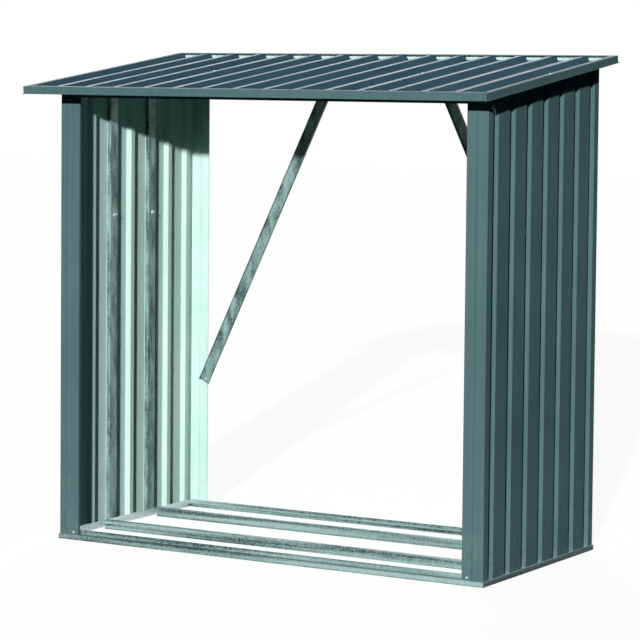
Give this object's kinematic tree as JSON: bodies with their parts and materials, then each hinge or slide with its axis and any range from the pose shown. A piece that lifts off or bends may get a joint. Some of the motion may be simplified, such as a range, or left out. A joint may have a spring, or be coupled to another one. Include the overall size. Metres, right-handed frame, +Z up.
{
  "type": "open steel log store",
  "caption": "Open-fronted log store with ribbed sheet-steel side walls and sloping roof, folded corner posts, diagonal rear braces and a galvanised base frame with floor rails.",
  "frame": {"origin": "on the ground, under the middle of the roof's plan", "axes": "+X to the right along the width, -Y out of the open front, +Z up"},
  "size_m": [1.63, 0.88, 1.54],
  "materials": {
    "slate_paint": "satin slate paint outside, pale back coat inside",
    "galvanised": "hot-dip zinc with spangle"
  },
  "bodies": {
    "root": {"front_left_post": "slate_paint", "front_right_post": "slate_paint", "rear_left_post": "slate_paint", "rear_right_post": "slate_paint", "left_wall_front_panel": "slate_paint", "left_wall_middle_panel": "slate_paint", "left_wall_rear_panel": "slate_paint", "right_wall_front_panel": "slate_paint", "right_wall_middle_panel": "slate_paint", "right_wall_rear_panel": "slate_paint", "roof_panel_1": "slate_paint", "roof_panel_2": "slate_paint", "roof_panel_3": "slate_paint", "roof_panel_4": "slate_paint", "roof_panel_5": "slate_paint", "front_fascia": "slate_paint", "rear_roof_trim": "slate_paint", "left_verge_trim": "slate_paint", "right_verge_trim": "slate_paint", "front_roof_beam": "slate_paint", "rear_roof_beam": "slate_paint", "base_front_rail": "galvanised", "base_rear_rail": "galvanised", "base_left_rail": "galvanised", "base_right_rail": "galvanised", "floor_rail_front": "galvanised", "floor_rail_rear": "galvanised", "left_front_seam_channel": "galvanised", "left_rear_seam_channel": "galvanised", "right_front_seam_channel": "galvanised", "right_rear_seam_channel": "galvanised", "left_top_rail": "galvanised", "right_top_rail": "galvanised", "left_brace": "galvanised", "right_brace": "galvanised"}
  },
  "joints": []
}
